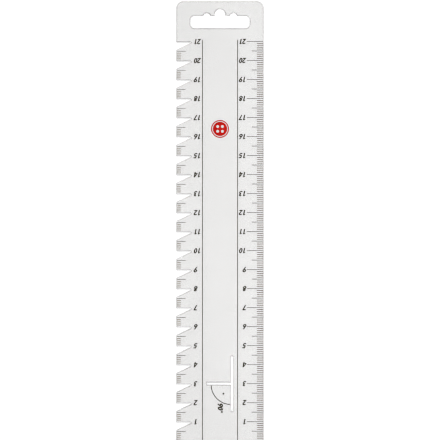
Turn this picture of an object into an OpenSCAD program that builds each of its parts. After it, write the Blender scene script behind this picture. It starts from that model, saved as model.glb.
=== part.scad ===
// Sewing gauge: a flat translucent rule with one toothed edge, a printed
// centimetre scale on each long side, a slot to hang it by and a T-shaped
// slot for marking right angles.
//
// The plate lies flat with its print facing +Z. X runs across the plate, with
// the teeth on the -X side. Y runs along it, toward the hang slot. The zero of
// both scales is at the -Y end. Sizes are in millimetres. The model's origin is
// the middle of the underside.

/* [Plate] */
// Width of the plate, from tooth tips to the straight edge
plate_w = 46.2; // [44:0.1:60]
// Thickness of the plate
plate_t = 1.0; // [0.6:0.1:2]
// Plastic beyond the last centimetre mark, up to the hang end
head_l = 21.3; // [20:0.1:40]
// Radius of the two corners at the hang end
head_corner_r = 4.0; // [1:0.1:5]
// Radius of the two corners at the zero end
zero_corner_r = 0.6; // [0.3:0.1:0.8]
// Plastic between a centimetre mark and the edge that it belongs to
mark_inset = 0.5; // [0.3:0.05:0.6]

/* [Scale] */
// Length of both scales in whole centimetres
scale_cm = 21; // [12:1:21]
// Width of a centimetre line, or of a 5 mm line on a tooth
tick_w = 0.23; // [0.15:0.01:0.3]
// Width of a millimetre line, or of a 5 mm line on the straight side
mm_tick_w = 0.27; // [0.15:0.01:0.3]
// Gap between the plate's edge and the outer end of a scale line
tick_gap = 0.35; // [0.1:0.05:0.4]
// Millimetre line on the straight side, measured in from the edge
edge_mm_l = 3.7; // [3:0.1:4.5]
// 5 mm line on the straight side, measured in from the edge
edge_5mm_l = 6.4; // [5:0.1:7.5]
// Centimetre line on the straight side, measured in from the edge
edge_cm_l = 9.0; // [8:0.1:9]
// Millimetre line on a tooth, measured in from the edge
tooth_mm_l = 2.5; // [1.5:0.1:3]
// 5 mm line on a tooth, measured in from the edge
tooth_5mm_l = 5.0; // [4:0.1:6]
// How far the lines on the teeth lie below those on the straight side; their numbers lie half as far below
tooth_drop = 0.15; // [0:0.05:0.3]
// Distance of each long guide line from the plate's edge on its side
guide_in = 13.85; // [13.8:0.05:14.3]
// Width of a guide line
guide_w = 0.36; // [0.2:0.02:0.5]
// How far the guide lines run past the last centimetre mark
guide_over = 0.85; // [0:0.05:3]

/* [Notches] */
// Depth of a notch from the toothed edge
notch_depth = 8.1; // [6:0.1:8.2]
// Mouth of a notch along the toothed edge
notch_mouth = 3.9; // [3:0.1:4.2]
// Radius at the bottom of a notch
notch_r = 0.15; // [0.1:0.05:0.4]
// Radius of the tooth corners
tooth_r = 0.35; // [0.15:0.05:0.5]

/* [Hang slot] */
// Length of the hang slot across the plate
hang_w = 30.8; // [25:0.1:34]
// Height of the hang slot
hang_h = 6.3; // [5:0.1:8]
// Corner radius of the hang slot
hang_r = 2.0; // [0.5:0.1:2.4]
// Plastic between the last centimetre mark and the hang slot
hang_gap = 7.1; // [6:0.1:8]
// Radius of the middle lobe on the hang slot
lobe_r = 2.65; // [2:0.05:3]
// Height of the middle lobe's centre above the slot
lobe_rise = 0.9; // [0.5:0.05:1.5]
// Radius of the side lobes
side_lobe_r = 1.9; // [1.2:0.05:2.2]
// Depth of the side lobes' centres below the slot's upper side
side_lobe_drop = 0.45; // [0:0.05:0.8]
// Distance of the side lobes from the middle
side_lobe_x = 7.0; // [6:0.1:9]

/* [T slot] */
// Centimetre mark that the cross slot lies on
t_cm = 3; // [3:1:8]
// Distance of the long slot from the plate's middle
t_x = 6.3; // [5:0.1:6.5]
// Length of the long slot
t_long = 29.0; // [20:0.1:36]
// How far the long slot's middle lies below the cross slot's
t_low = 0.15; // [0:0.05:1]
// Length of the cross slot, from its end to the long slot's middle
t_cross = 13.3; // [12.5:0.1:14]
// Width of both slots
t_w = 1.1; // [0.8:0.05:1.4]
// Width of the bevel around both slots
t_bevel = 0.35; // [0.2:0.05:0.7]
// Depth of the bevel
t_bevel_d = 0.2; // [0.1:0.05:0.5]

/* [Right-angle mark] */
// Radius of the quarter arc
arc_r = 10.4; // [9:0.1:10.6]
// Width of the arc's line
arc_w = 0.38; // [0.2:0.02:0.5]
// Diameter of the dot
dot_d = 0.9; // [0.5:0.02:1.2]

/* [Print] */
// Thickness of the dried ink
ink_t = 0.04; // [0.03:0.01:0.1]
// Height of the numbers
digit_h = 2.75; // [2.45:0.05:3]
// Width of one figure before it leans
digit_w = 1.54; // [1.4:0.02:1.6]
// Stroke width of the numbers
digit_s = 0.54; // [0.3:0.02:0.54]
// Lean of the numbers in degrees
digit_lean = 12; // [0:1:15]
// How much wider than their drawing the figures are printed
digit_wide = 1.12; // [1:0.02:1.14]
// Distance between two figures of one number
digit_pitch = 1.78; // [1.76:0.02:2]
// Distance of the outer figure of a number from the plate's edge on its side
number_in = 10.25; // [10.2:0.05:10.5]

/* [Red mark] */
// Diameter of the round red mark
mark_d = 9.4; // [6:0.1:12]
// Distance of its centre from the last centimetre mark
mark_in = 46; // [20:1:60]
// Diameter of each of its four holes
mark_hole_d = 1.5; // [1:0.1:1.8]
// Distance between two holes
mark_hole_pitch = 2.5; // [2.2:0.1:3]

/* [Hidden] */

scale_l = 10 * scale_cm;                    // length of the scales
plate_l = mark_inset + scale_l + head_l;    // length of the plate
left = -plate_w / 2;
right = plate_w / 2;
guide_x = plate_w / 2 - guide_in;           // the guide lines, from the middle
number_x = plate_w / 2 - number_in;         // the outer figures, from the middle
bottom = -mark_inset;                       // the zero end, seen from the zero line
top = scale_l + head_l;                     // the hang end
through = 2;                                // how far a cutter runs past a face
t_y = 10 * t_cm;                            // middle of the cross slot
angle_x = t_x - t_w / 2;                    // corner that the right-angle mark stands in
angle_y = t_y - t_w / 2;
h = digit_h / 2;
s = digit_s;

plastic = [0.90, 0.90, 0.89, 0.6];
black_ink = [0.08, 0.08, 0.09];
red_ink = [0.82, 0.13, 0.13];

// From the zero line, on which everything is laid out, to the plate's middle
module placed() {
    translate([0, -(bottom + top) / 2, 0]) children();
}

// Dried ink on the upper face, from its outline
module ink() {
    placed() translate([0, 0, plate_t]) linear_extrude(ink_t) children();
}

// Points of an arc, ends included
function arc(c, rx, ry, a0, a1, step) =
    let (n = max(1, ceil(abs(a1 - a0) / step)))
    [for (i = [0 : n]) let (a = a0 + (a1 - a0) * i / n) [c[0] + rx * cos(a), c[1] + ry * sin(a)]];

function unit(v) = v / norm(v);

// One corner b between a and c, rounded to radius r
function rounded_corner(a, b, c, r) =
    let (u = unit(a - b), v = unit(c - b), half = acos(u * v) / 2,
        o = b + unit(u + v) * (r / sin(half)),
        p = b + u * (r / tan(half)), q = b + v * (r / tan(half)),
        a0 = atan2(p[1] - o[1], p[0] - o[0]), a1 = atan2(q[1] - o[1], q[0] - o[0]),
        turn = a1 - a0 > 180 ? a1 - a0 - 360 : a1 - a0 < -180 ? a1 - a0 + 360 : a1 - a0)
    arc(o, r, r, a0, a0 + turn, r > 1 ? 5 : 15);

// The toothed side as a row of corners, each with its radius, from the top down.
// Every notch has a square upper side on its centimetre mark and a slanting lower one.
function tooth_corners() = [for (n = [scale_cm : -1 : 1]) let (y = 10 * n - mark_inset) each [
    [[left, y], tooth_r],
    [[left + notch_depth, y], notch_r],
    [[left, y - notch_mouth], tooth_r]]];

function outline_corners() = concat(
    [[[right, bottom], zero_corner_r], [[right, top], head_corner_r], [[left, top], head_corner_r]],
    tooth_corners(),
    [[[left, bottom], zero_corner_r]]);

function outline() = let (c = outline_corners(), n = len(c)) [for (i = [0 : n - 1])
    each rounded_corner(c[(i + n - 1) % n][0], c[i][0], c[(i + 1) % n][0], c[i][1])];

// Rectangle with round corners, centred
module round_rect(w, l, r) {
    square([w - 2 * r, l], center = true);
    square([w, l - 2 * r], center = true);
    for (x = [-1, 1], y = [-1, 1]) translate([x * (w / 2 - r), y * (l / 2 - r)]) circle(r = r, $fn = 48);
}

// The hang slot: a long rounded opening with one large lobe between two small ones,
// so that the plate centres itself on a single hook or a double one
module hang_slot() {
    y0 = scale_l + hang_gap;
    y1 = y0 + hang_h;
    translate([0, (y0 + y1) / 2]) round_rect(hang_w, hang_h, hang_r);
    translate([0, y1 + lobe_rise]) circle(r = lobe_r, $fn = 64);
    translate([-lobe_r, y1 - 1]) square([2 * lobe_r, 1 + lobe_rise]);
    for (x = [-1, 1]) translate([x * side_lobe_x, y1 - side_lobe_drop]) circle(r = side_lobe_r, $fn = 64);
}

// Bevelled opening of a straight slot: a frustum with its wide side on the upper face
module slot_bevel(w, l) {
    b = t_bevel;
    d = t_bevel_d;
    e = 0.5;                                // part of the cutter above the face
    k = b / d;
    intersection() {
        translate([0, (l + 4 * b + 4) / 2, plate_t]) rotate([90, 0, 0]) linear_extrude(l + 4 * b + 4)
            polygon([[-w / 2, -d], [w / 2, -d], [w / 2 + b + k * e, e], [-w / 2 - b - k * e, e]]);
        translate([-(w + 4 * b + 4) / 2, 0, plate_t]) rotate([90, 0, 90]) linear_extrude(w + 4 * b + 4)
            polygon([[-l / 2, -d], [l / 2, -d], [l / 2 + b + k * e, e], [-l / 2 - b - k * e, e]]);
    }
}

module gauge_plate() {
    color(plastic) placed() difference() {
        linear_extrude(plate_t) difference() {
            polygon(outline());
            hang_slot();
        }
        // long slot
        translate([t_x, t_y - t_low, plate_t / 2]) cube([t_w, t_long, plate_t + through], center = true);
        translate([t_x, t_y - t_low, 0]) slot_bevel(t_w, t_long);
        // cross slot
        translate([t_x - t_cross, t_y - t_w / 2, -through / 2]) cube([t_cross, t_w, plate_t + through]);
        translate([t_x - t_cross / 2, t_y, 0]) slot_bevel(t_cross, t_w);
    }
}

// One line of the straight side's scale, v millimetres from zero
module edge_tick(v, l, w = tick_w) {
    translate([right - l, v - w / 2]) square([l - tick_gap, w]);
}

module tooth_tick(v, l, w = tick_w) {
    translate([left + tick_gap, v - tooth_drop - w / 2]) square([l - tick_gap, w]);
}

module edge_mm_ticks() {
    color(black_ink) ink() for (v = [0 : scale_l]) if (v % 5 != 0) edge_tick(v, edge_mm_l, mm_tick_w);
}

module edge_5mm_ticks() {
    color(black_ink) ink() for (v = [5 : 10 : scale_l]) edge_tick(v, edge_5mm_l, mm_tick_w);
}

module edge_cm_ticks() {
    color(black_ink) ink() for (v = [0 : 10 : scale_l]) edge_tick(v, edge_cm_l);
}

module tooth_mm_ticks() {
    color(black_ink) ink() for (n = [0 : scale_cm - 1], k = [1 : 4]) tooth_tick(10 * n + k, tooth_mm_l, mm_tick_w);
}

module tooth_5mm_ticks() {
    color(black_ink) ink() for (n = [0 : scale_cm - 1]) tooth_tick(10 * n + 5, tooth_5mm_l);
}

module guide_line(x) {
    translate([x - guide_w / 2, 0.2]) square([guide_w, scale_l + guide_over - 0.2]);
}

module guide_line_teeth() {
    color(black_ink) ink() guide_line(-guide_x);
}

module guide_line_edge() {
    color(black_ink) ink() guide_line(guide_x);
}

// ---- Figures, drawn about their own middle, upright, and leaned by a shear ----

function lean(p) = [for (q = p) [digit_wide * q[0] + q[1] * tan(digit_lean), q[1]]];
function turned(p) = [for (q = p) -q];

a = digit_w / 2;                            // half width of a figure
r1 = 0.245 * digit_h;                       // outer radius of the small upper bowl
r2 = 0.295 * digit_h;                       // outer radius of the large lower bowl
c1 = [0, h - r1];
c2 = [0, r2 - h];
// Height at which the outlines of both bowls cross
waist = let (d = c1[1] - c2[1]) c1[1] - (d * d + r1 * r1 - r2 * r2) / (2 * d);
w1 = asin((waist - c1[1]) / r1);
w2 = asin((waist - c2[1]) / r2);

module figure_0() {
    polygon(lean(concat(arc([0, 0], a, h, 0, 345, 15), arc([0, 0], a - s, h - s, 0, 345, 15))),
        [[for (i = [0 : 23]) i], [for (i = [24 : 47]) i]]);
}

module figure_1() {
    polygon(lean([[-0.24, -h], [s - 0.24, -h], [s - 0.24, h], [-0.22, h], [-0.72, h - 0.36], [-0.58, h - 0.68], [-0.24, h - 0.46]]));
}

module figure_2() {
    k = 0.29 * digit_h;                     // outer radius of the bowl
    o = [0, h - k];
    polygon(lean(concat(
        arc(o, k, k, 170, -38, 15),
        [[0.02, s - h], [a, s - h], [a, -h], [-a - 0.02, -h]],
        arc(o, k - s, k - s, -38, 170, 15))));
}

module figure_3() {
    polygon(lean(concat(
        arc(c1, r1, r1, 150, w1, 15),
        arc(c2, r2, r2, w2, -155, 15),
        arc(c2, r2 - s, r2 - s, -155, 90, 15),
        [[-0.18, c2[1] + r2 - s], [-0.18, c1[1] - r1 + s]],
        arc(c1, r1 - s, r1 - s, -90, 150, 15))));
}

module figure_4() {
    polygon(lean([[0.12, -h], [0.12 + s, -h], [0.12 + s, -0.86], [a + 0.04, -0.86], [a + 0.04, -0.46], [0.12 + s, -0.46],
        [0.12 + s, h], [0.14, h], [-a - 0.02, -0.44], [-a - 0.02, -0.86], [0.12, -0.86],
        [-0.27, -0.46], [0.12, -0.46], [0.12, 0.38]]),
        [[for (i = [0 : 10]) i], [11, 12, 13]]);
}

module figure_5() {
    k = 0.315 * digit_h;
    o = [-0.06, k - h];
    polygon(lean(concat(
        [[a, h], [-0.42, h], [-0.62, o[1] + 0.42]],
        [[-0.36, o[1] + 0.30]],
        arc(o, k - s, k - s, 105, -140, 15),
        arc(o, k, k, -140, 78, 15),
        [[-0.06, o[1] + k + 0.02], [0.04, h - s], [a, h - s]])));
}

// A round bowl with a straight tail that leaves it on the left and leans over it
function tail_bowl() =
    let (k = 0.30 * digit_h, o = [0, k - h], p = [0.0, h], q = [0.56, h],
        d = p - o, t = atan2(d[1], d[0]) + acos(k / norm(d)),
        tp = o + k * [cos(t), sin(t)], u = unit(tp - p),
        g = q - o, m = g * u, x = q + u * (-m - sqrt(m * m - (g * g - k * k))),
        ax = atan2(x[1] - o[1], x[0] - o[0]))
    concat([p, q], arc(o, k, k, ax, t - 360, 15), arc(o, k - s, k - s, 0, 345, 15));
// How many points of it belong to the hole
hole_points = 24;

module tail_figure(p) {
    n = len(p) - hole_points;
    polygon(lean(p), [[for (i = [0 : n - 1]) i], [for (i = [n : len(p) - 1]) i]]);
}

module figure_6() { tail_figure(tail_bowl()); }

module figure_7() {
    polygon(lean([[-a, h], [a, h], [a, h - 0.22], [0.02, -h], [-0.50, -h], [0.14, h - s], [-a, h - s]]));
}

module figure_8() {
    outer = concat(arc(c1, r1, r1, 180 - w1, w1, 15), arc(c2, r2, r2, w2, -180 - w2, 15));
    u = arc(c1, r1 - s, r1 - s, 0, 345, 15);
    l = arc(c2, r2 - s, r2 - s, 0, 345, 15);
    n = len(outer);
    polygon(lean(concat(outer, u, l)),
        [[for (i = [0 : n - 1]) i], [for (i = [n : n + 23]) i], [for (i = [n + 24 : n + 47]) i]]);
}

module figure_9() { tail_figure(turned(tail_bowl())); }

module figure(n) {
    if (n == 0) figure_0();
    if (n == 1) figure_1();
    if (n == 2) figure_2();
    if (n == 3) figure_3();
    if (n == 4) figure_4();
    if (n == 5) figure_5();
    if (n == 6) figure_6();
    if (n == 7) figure_7();
    if (n == 8) figure_8();
    if (n == 9) figure_9();
}

// The numbers read upright when the plate is held with its hang slot down, so
// each is turned by half a turn. x_tens and x_units are the places of its figures.
module number(n, x_tens, x_units) {
    translate([x_units, 10 * n]) rotate(180) figure(n % 10);
    if (n >= 10) translate([x_tens, 10 * n]) rotate(180) figure(floor(n / 10));
}

// Beside the notches the units stand in line
module tooth_numerals() {
    color(black_ink) ink() translate([0, -tooth_drop / 2])
        for (n = [1 : scale_cm]) number(n, digit_pitch - number_x, -number_x);
}

// Beside the straight edge the first figures stand in line
module edge_numerals() {
    color(black_ink) ink() for (n = [1 : scale_cm])
        number(n, number_x - 0.16, n < 10 ? number_x : number_x - 0.16 - digit_pitch);
}

// Quarter of a ring that spans the angle between both slots, clear of their bevels
module angle_arc() {
    e = t_bevel + 0.05;
    a0 = asin(e / arc_r);
    color(black_ink) ink() translate([angle_x, angle_y])
        polygon(concat(arc([0, 0], arc_r + arc_w / 2, arc_r + arc_w / 2, 180 + a0, 270 - a0, 3),
            arc([0, 0], arc_r - arc_w / 2, arc_r - arc_w / 2, 270 - a0, 180 + a0, 3)));
}

module angle_dot() {
    color(black_ink) ink() translate([angle_x - 4.0, angle_y - 4.73]) circle(d = dot_d, $fn = 32);
}

// The figure 90 and a degree ring, reading down the plate, in strokes a little wider than the scales' own
module angle_label() {
    color(black_ink) ink() translate([angle_x - 5.58, angle_y - 12.62]) rotate(-90) {
        for (d = [-0.07, 0.07]) translate([d, 0]) {
            translate([-1.87, 0]) figure(9);
            figure(0);
        }
        translate([1.72, 0.78]) difference() {
            circle(r = 0.5, $fn = 32);
            circle(r = 0.14, $fn = 32);
        }
    }
}

// A plain four-hole button, printed in the second ink
module red_button_mark() {
    color(red_ink) ink() translate([0, scale_l - mark_in]) {
        difference() {
            circle(d = mark_d, $fn = 96);
            circle(d = mark_d - 1.1, $fn = 96);
        }
        difference() {
            circle(d = mark_d - 1.9, $fn = 96);
            for (x = [-1, 1], y = [-1, 1])
                translate([x * mark_hole_pitch / 2, y * mark_hole_pitch / 2]) circle(d = mark_hole_d, $fn = 32);
        }
    }
}

gauge_plate();
edge_mm_ticks();
edge_5mm_ticks();
edge_cm_ticks();
edge_numerals();
tooth_mm_ticks();
tooth_5mm_ticks();
tooth_numerals();
guide_line_teeth();
guide_line_edge();
angle_arc();
angle_dot();
angle_label();
red_button_mark();
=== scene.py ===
import math

import bmesh
import bpy
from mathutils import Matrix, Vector


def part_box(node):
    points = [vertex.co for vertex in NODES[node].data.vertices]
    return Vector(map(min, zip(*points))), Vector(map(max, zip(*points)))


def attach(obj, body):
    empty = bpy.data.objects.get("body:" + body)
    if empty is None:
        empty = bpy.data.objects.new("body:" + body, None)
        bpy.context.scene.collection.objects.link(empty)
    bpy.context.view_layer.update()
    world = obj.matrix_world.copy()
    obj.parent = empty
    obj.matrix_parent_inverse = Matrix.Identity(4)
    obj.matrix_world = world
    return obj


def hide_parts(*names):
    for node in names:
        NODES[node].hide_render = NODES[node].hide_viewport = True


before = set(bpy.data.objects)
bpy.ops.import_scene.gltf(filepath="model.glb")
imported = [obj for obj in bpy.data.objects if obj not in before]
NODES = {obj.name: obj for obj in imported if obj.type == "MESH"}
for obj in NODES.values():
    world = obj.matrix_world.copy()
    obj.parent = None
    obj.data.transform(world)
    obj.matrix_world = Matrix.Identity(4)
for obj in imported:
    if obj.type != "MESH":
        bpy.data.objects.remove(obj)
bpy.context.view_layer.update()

MM = 0.001

# ---------------------------------------------------------------- sizes, in millimetres
# The same driving sizes as the construction. Everything is laid out from the
# zero line and then moved so that the plate's middle is at the origin.
PLATE_W, PLATE_T = 46.2, 1.0
SCALE_L, HEAD_L, INSET = 210.0, 21.3, 0.5
LEFT, RIGHT = -PLATE_W / 2, PLATE_W / 2
BOTTOM, TOP = -INSET, SCALE_L + HEAD_L
SHIFT = -(BOTTOM + TOP) / 2
HEAD_R, ZERO_R = 4.0, 0.6
NOTCH_D, NOTCH_M, NOTCH_R, TOOTH_R = 8.1, 3.9, 0.15, 0.35
HANG_W, HANG_H, HANG_R, HANG_Y = 30.8, 6.3, 2.0, SCALE_L + 7.1
LOBE_R, LOBE_RISE, SIDE_R, SIDE_X, SIDE_DROP, LIP_R = 2.65, 0.9, 1.9, 7.0, 0.45, 0.3
T_X, T_Y, T_LONG, T_CROSS, T_W, T_BEVEL, T_DEPTH = 6.3, 30.0, 29.0, 13.3, 1.1, 0.35, 0.2
T_MID = T_Y - 0.15                                          # middle of the long slot
# Rims, as (width, height): a small round on the upper face, and a foot drawn in below
RIM_TOP, RIM_LOW = (0.14, 0.10), (0.80, 0.51)
HANG_TOP, HANG_LOW = (0.10, 0.08), (0.80, 0.58)
HANG_SHARE = 1.25                                           # share of both at the slot's ends
T_LOW, T_LOW_X = (0.60, 0.42), 0.65
SLANT = 1.12                                                # share of the foot on the slanting sides
STRAIGHT = 1.25                                             # and on the straight edge, whose rim is softer


# ---------------------------------------------------------------- plane geometry
# An outline is made for any inset d into the plastic, always with the same number
# of points, so that the outlines at several insets join up into walls.
def arc(cx, cy, r, a0, a1, step=6.0):
    n = max(2, int(math.ceil(abs(a1 - a0) / step - 1e-6)))
    return [(cx + r * math.cos(math.radians(a0 + (a1 - a0) * i / n)),
             cy + r * math.sin(math.radians(a0 + (a1 - a0) * i / n))) for i in range(n + 1)]


def rounded(corners, d, step=9.0):
    """Outline through corners (x, y, radius) with the plastic on its left, moved d into the plastic.
    A corner that sticks out loses d from its radius, down to none, and one that goes in gains it.
    A fourth value of a corner is the share of d that the side after it moves."""
    out = []
    n = len(corners)
    for i in range(n):
        a, b, c = (Vector(corners[(i + k) % n][:2]) for k in (-1, 0, 1))
        r = corners[i][2]
        u, v = (a - b).normalized(), (c - b).normalized()
        half = math.acos(max(-1.0, min(1.0, u.dot(v)))) / 2
        bis = (u + v).normalized()
        outer = u.cross(v) < 0                      # a turn to the left: this corner sticks out
        da, db = (d * (k[3] if len(k) > 3 else 1.0) for k in (corners[i - 1], corners[i]))
        b = b + (u * db + v * da) / v.cross(u)
        r1 = max(r - (da + db) / 2, 0.0) if outer else r + (da + db) / 2
        if r <= 0 and outer:
            out.append((b.x, b.y))
            continue
        o = b + bis * (r1 / math.sin(half))
        na, nb = (Vector((-u.y, u.x)), Vector((v.y, -v.x))) if outer else (Vector((u.y, -u.x)), Vector((-v.y, v.x)))
        a0, a1 = math.degrees(math.atan2(na.y, na.x)), math.degrees(math.atan2(nb.y, nb.x))
        turn = (a1 - a0 + 180) % 360 - 180
        out += arc(o.x, o.y, r1, a0, a0 + turn, 5.0 if r > 1 else step)
    return out


def plate_outline(d):
    c = [(RIGHT, BOTTOM, ZERO_R, STRAIGHT), (RIGHT, TOP, HEAD_R), (LEFT, TOP, HEAD_R)]
    for n in range(21, 0, -1):
        y = 10 * n - INSET
        c += [(LEFT, y, TOOTH_R), (LEFT + NOTCH_D, y, NOTCH_R, SLANT), (LEFT, y - NOTCH_M, TOOTH_R)]
    c.append((LEFT, BOTTOM, ZERO_R))
    return rounded(c, d)


def hang_outline(d):
    """Clockwise, so that the plastic is on its left."""
    y0, y1 = HANG_Y - d, HANG_Y + HANG_H + d
    w, r = HANG_W / 2 + d, HANG_R + d
    lip = max(LIP_R - d, 0.0)
    pts = arc(w - r, y0 + r, r, 0, -90, 7.5)
    pts += arc(-w + r, y0 + r, r, -90, -180, 7.5)
    pts += arc(-w + r, y1 - r, r, 180, 90, 7.5)

    def side(cx):
        rise, big = lip + SIDE_DROP + d, SIDE_R + d
        dx = math.sqrt((big + lip) ** 2 - rise ** 2)
        f = math.degrees(math.atan2(rise, dx))
        out = [(cx + dx * s, y1 + lip) for s in (-1, 1)]
        left = [(out[0][0] + lip * math.cos(t), out[0][1] + lip * math.sin(t))
                for t in (math.radians(-90 + (90 - f) * i / 5) for i in range(6))]
        mid = [(cx + big * math.cos(t), y1 - d - SIDE_DROP + big * math.sin(t))
               for t in (math.radians(180 - f + (2 * f - 180) * i / 24) for i in range(25))]
        right = [(2 * cx - x, y) for x, y in reversed(left)]
        return left + mid[1:-1] + right

    pts += side(-SIDE_X)
    big = LOBE_R + d
    pts += arc(-big - lip, y1 + lip, lip, -90, 0, 15)
    pts += arc(0, HANG_Y + HANG_H + LOBE_RISE, big, 180, 0, 5)
    pts += arc(big + lip, y1 + lip, lip, 180, 270, 15)
    pts += side(SIDE_X)
    pts += arc(w - r, y1 - r, r, 90, 0, 7.5)
    return pts


def t_outline(d):
    """Clockwise. Slot ends are a little rounded; the corners where the slots meet stay sharp.
    The inset may be given as a pair, for the sides that look along X and those along Y."""
    dx, dy = d if isinstance(d, tuple) else (d, d)
    x0, x1, x2 = T_X - T_W / 2 - dx, T_X + T_W / 2 + dx, T_X - T_CROSS - dx
    yl, yh = T_MID - T_LONG / 2 - dy, T_MID + T_LONG / 2 + dy
    ya, yb = T_Y - T_W / 2 - dy, T_Y + T_W / 2 + dy
    r = 0.22
    return rounded([(x1, yh, r), (x1, yl, r), (x0, yl, r), (x0, ya, 0),
                    (x2, ya, r), (x2, yb, r), (x0, yb, 0), (x0, yh, r)], 0, 15)


def softened(outline, x, share):
    """The same outline, where its inset is stretched along X further out than x. This makes the rims at its ends softer."""
    base = outline(0.0)
    return lambda d: [(b[0] + (p[0] - b[0]) * share if abs(b[0]) > x else p[0], p[1]) for b, p in zip(base, outline(d))]


def brow(size, n=4):
    """(inset, height) along a quarter ellipse, from the upper face to the wall."""
    angles = [math.radians(90 * i / n) for i in range(n + 1)]
    return [(size[0] * (1 - math.sin(a)), PLATE_T - size[1] * (1 - math.cos(a))) for a in angles]


def foot(size, n=10):
    """(inset, height) along half a cosine wave, from the wall to the underside."""
    return [(size[0] * i / n, size[1] * (1 + math.cos(math.pi * i / n)) / 2) for i in range(n + 1)]


def build_plate():
    bm = bmesh.new()
    wall = brow(RIM_TOP) + foot(RIM_LOW)
    hang_wall = brow(HANG_TOP) + foot(HANG_LOW)
    t_wall = [(T_BEVEL + 0.06, PLATE_T), (T_BEVEL + 0.02, PLATE_T - 0.006), (T_BEVEL - 0.03, PLATE_T - 0.025),
              (0.07, PLATE_T - T_DEPTH + 0.035), (0.02, PLATE_T - T_DEPTH), (0.0, PLATE_T - T_DEPTH - 0.06)]
    t_wall += [((T_LOW_X * d, d), z) for d, z in foot(T_LOW)]
    for outline, profile in ((plate_outline, wall), (softened(hang_outline, HANG_W / 2 - HANG_R - 0.01, HANG_SHARE), hang_wall), (t_outline, t_wall)):
        rings = [[bm.verts.new((x * MM, (y + SHIFT) * MM, z * MM)) for x, y in outline(d)] for d, z in profile]
        n = len(rings[0])
        assert all(len(r) == n for r in rings)
        for a, b in zip(rings, rings[1:]):
            for i in range(n):
                j = (i + 1) % n
                bm.faces.new((a[i], b[i], b[j], a[j])).smooth = True
    # points that fell together where a rim is drawn in past a corner's radius
    bmesh.ops.remove_doubles(bm, verts=bm.verts, dist=2e-7)
    bmesh.ops.dissolve_degenerate(bm, edges=bm.edges, dist=1e-7)
    for z in (0.0, PLATE_T * MM):
        edges = [e for e in bm.edges if len(e.link_faces) == 1 and all(abs(v.co.z - z) < 1e-8 for v in e.verts)]
        made = bmesh.ops.triangle_fill(bm, use_beauty=True, use_dissolve=False, edges=edges)["geom"]
        for f in made:
            if isinstance(f, bmesh.types.BMFace):
                f.smooth = False
    bmesh.ops.recalc_face_normals(bm, faces=bm.faces)
    for e in bm.edges:
        if len(e.link_faces) == 2 and e.calc_face_angle(0.0) > math.radians(38):
            e.smooth = False
    assert all(e.is_manifold for e in bm.edges), "the plate isn't closed"
    mesh = bpy.data.meshes.new("moulded_plate")
    bm.to_mesh(mesh)
    bm.free()
    o = bpy.data.objects.new("moulded_plate", mesh)
    bpy.context.scene.collection.objects.link(o)
    return o


# ---------------------------------------------------------------- materials
def new_material(name):
    m = bpy.data.materials.new(name)
    m.use_nodes = True
    nt = m.node_tree
    return m, nt, nt.nodes["Principled BSDF"]


def noise(nt, vec, scale, detail=3.0, rough=0.5):
    n = nt.nodes.new("ShaderNodeTexNoise")
    n.inputs["Scale"].default_value = scale
    n.inputs["Detail"].default_value = detail
    n.inputs["Roughness"].default_value = rough
    nt.links.new(vec, n.inputs["Vector"])
    return n.outputs["Fac"]


def ramp(nt, fac, stops):
    r = nt.nodes.new("ShaderNodeValToRGB")
    e = r.color_ramp.elements
    while len(e) < len(stops):
        e.new(0.5)
    for el, (p, c) in zip(e, stops):
        el.position = p
        el.color = (*c, 1) if len(c) == 3 else c
    nt.links.new(fac, r.inputs["Fac"])
    return r.outputs["Color"]


def span(nt, fac, lo, hi, a=0.3, b=0.7):
    r = nt.nodes.new("ShaderNodeMapRange")
    r.inputs["From Min"].default_value = a
    r.inputs["From Max"].default_value = b
    r.inputs["To Min"].default_value = lo
    r.inputs["To Max"].default_value = hi
    nt.links.new(fac, r.inputs["Value"])
    return r.outputs["Result"]


def object_coords(nt):
    return nt.nodes.new("ShaderNodeTexCoord").outputs["Object"]


def bump(nt, bsdf, height, strength, distance):
    b = nt.nodes.new("ShaderNodeBump")
    b.inputs["Strength"].default_value = strength
    b.inputs["Distance"].default_value = distance
    nt.links.new(height, b.inputs["Height"])
    nt.links.new(b.outputs["Normal"], bsdf.inputs["Normal"])


def plastic():
    m, nt, b = new_material("milky_clear_plastic")
    co = object_coords(nt)
    flow = noise(nt, co, 30.0, 4.0, 0.55)
    fine = noise(nt, co, 900.0, 2.0, 0.6)
    nt.links.new(ramp(nt, flow, [(0.30, (0.870, 0.866, 0.861)), (0.70, (0.882, 0.878, 0.873))]), b.inputs["Base Color"])
    nt.links.new(span(nt, flow, 0.05, 0.09), b.inputs["Roughness"])
    b.inputs["IOR"].default_value = 1.5
    b.inputs["Transmission Weight"].default_value = 0.75
    bump(nt, b, fine, 0.04, 0.00002)
    return m


def ink(name, dark, light, sheen):
    m, nt, b = new_material(name)
    co = object_coords(nt)
    mottle = noise(nt, co, 2200.0, 3.0, 0.6)
    patch = noise(nt, co, 160.0, 2.0, 0.5)
    mix = nt.nodes.new("ShaderNodeMath")
    mix.operation = "MULTIPLY"
    nt.links.new(mottle, mix.inputs[0])
    nt.links.new(patch, mix.inputs[1])
    nt.links.new(ramp(nt, mix.outputs[0], [(0.12, dark), (0.42, light)]), b.inputs["Base Color"])
    nt.links.new(span(nt, mottle, 0.34, 0.52), b.inputs["Roughness"])
    b.inputs["Specular IOR Level"].default_value = sheen
    bump(nt, b, mottle, 0.25, 0.00001)
    return m


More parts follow.
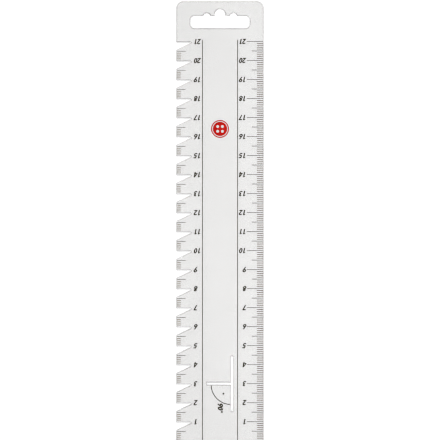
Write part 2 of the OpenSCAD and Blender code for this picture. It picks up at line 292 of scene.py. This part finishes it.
def floor_material():
    m, nt, b = new_material("pale_floor")
    co = object_coords(nt)
    soft = noise(nt, co, 6.0, 2.0, 0.5)
    nt.links.new(ramp(nt, soft, [(0.3, (0.44, 0.44, 0.44)), (0.7, (0.46, 0.46, 0.46))]), b.inputs["Base Color"])
    # It glows as a light table does, a little less toward both ends of the gauge and toward its teeth
    sep = nt.nodes.new("ShaderNodeSeparateXYZ")
    nt.links.new(co, sep.inputs[0])
    far = nt.nodes.new("ShaderNodeMath")
    far.operation = "ABSOLUTE"
    nt.links.new(sep.outputs["Y"], far.inputs[0])
    glow = nt.nodes.new("ShaderNodeMath")
    glow.operation = "MULTIPLY"
    nt.links.new(span(nt, far.outputs[0], 0.80, 0.73, 0.06, 0.12), glow.inputs[0])
    nt.links.new(span(nt, sep.outputs["X"], 0.95, 1.045, -0.023, 0.014), glow.inputs[1])
    nt.links.new(glow.outputs[0], b.inputs["Emission Strength"])
    b.inputs["Emission Color"].default_value = (1, 1, 1, 1)
    b.inputs["Roughness"].default_value = 0.9
    b.inputs["Specular IOR Level"].default_value = 0.1
    return m


def set_material(o, m):
    o.data.materials.clear()
    o.data.materials.append(m)


# ---------------------------------------------------------------- the object
lo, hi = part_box("gauge_plate")
assert abs((hi.x - lo.x) - PLATE_W * MM) < 2e-5 and abs((hi.y - lo.y) - (TOP - BOTTOM) * MM) < 2e-5, "the plate's size has changed"

plate = build_plate()
set_material(plate, plastic())
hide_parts("gauge_plate")
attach(plate, "root")

black = ink("black_print", (0.015, 0.012, 0.002), (0.034, 0.027, 0.006), 0.10)
long_line = ink("black_print_even", (0.040, 0.034, 0.014), (0.062, 0.053, 0.022), 0.10)
fine = ink("black_print_thin", (0.092, 0.044, 0.001), (0.147, 0.078, 0.005), 0.10)       # the finest lines print browner
fine_edge = ink("black_print_thin_edge", (0.062, 0.026, 0.001), (0.100, 0.048, 0.003), 0.10)
red = ink("red_print", (0.55, 0.004, 0.002), (0.68, 0.009, 0.005), 0.12)
FINISH = {"red_button_mark": red, "edge_mm_ticks": fine_edge, "tooth_mm_ticks": fine,
          "guide_line_teeth": long_line, "guide_line_edge": long_line}
for name, o in NODES.items():
    if name == "gauge_plate":
        continue
    set_material(o, FINISH.get(name, black))

# ---------------------------------------------------------------- floor, light, camera
scene = bpy.context.scene
fm = bpy.data.meshes.new("floor")
fb = bmesh.new()
bmesh.ops.create_grid(fb, x_segments=8, y_segments=8, size=2.5)
fb.to_mesh(fm)
fb.free()
floor = bpy.data.objects.new("floor", fm)
floor.location = (0, 0, -0.00004)
scene.collection.objects.link(floor)
set_material(floor, floor_material())

world = bpy.data.worlds.new("studio")
scene.world = world
world.use_nodes = True
wt = world.node_tree
bg = wt.nodes["Background"]
tc = wt.nodes.new("ShaderNodeTexCoord")
sep = wt.nodes.new("ShaderNodeSeparateXYZ")
wt.links.new(tc.outputs["Generated"], sep.inputs[0])
wr = wt.nodes.new("ShaderNodeValToRGB")
we = wr.color_ramp.elements
we[0].position, we[0].color = 0.0, (0.25, 0.25, 0.26, 1)
we[1].position, we[1].color = 0.55, (1.0, 1.0, 1.0, 1)
wt.links.new(sep.outputs["Z"], wr.inputs["Fac"])
wt.links.new(wr.outputs["Color"], bg.inputs["Color"])
bg.inputs["Strength"].default_value = 0.80


def area_light(name, loc, target, size, watts):
    l = bpy.data.lights.new(name, "AREA")
    l.shape = "RECTANGLE"
    l.size, l.size_y = size
    l.energy = watts
    o = bpy.data.objects.new(name, l)
    o.location = loc
    o.rotation_euler = (Vector(target) - Vector(loc)).to_track_quat("-Z", "Y").to_euler()
    scene.collection.objects.link(o)


area_light("soft_key", (-0.9, 0.9, 1.3), (0, 0, 0), (0.9, 0.9), 4.0)
area_light("soft_fill", (1.1, -0.5, 1.2), (0, 0, 0), (1.0, 1.0), 2.0)

# The photograph is 440 px across and 1 px is 10 / 19.01 mm on the printed face.
# Its middle lies 0.69 mm above the plate's middle and 0.016 mm to its left.
PX = 10.0 / 19.01 * MM
cam = bpy.data.cameras.new("camera")
cam.sensor_width = 36.0
cam.lens = 150.0
cam.clip_start, cam.clip_end = 0.01, 20.0
co = bpy.data.objects.new("camera", cam)
dist = 440 * PX * cam.lens / cam.sensor_width
co.location = (-0.000016, 0.00069, PLATE_T * MM + dist)
scene.collection.objects.link(co)
scene.camera = co

# Light that has passed through the plate stays sharp, so that a clear plate passes as much as it should
# and the fine print is drawn a little crisper than usual
scene.cycles.blur_glossy = 0.0
scene.cycles.filter_width = 1.3
scene.view_settings.view_transform = "Standard"
scene.view_settings.look = "None"
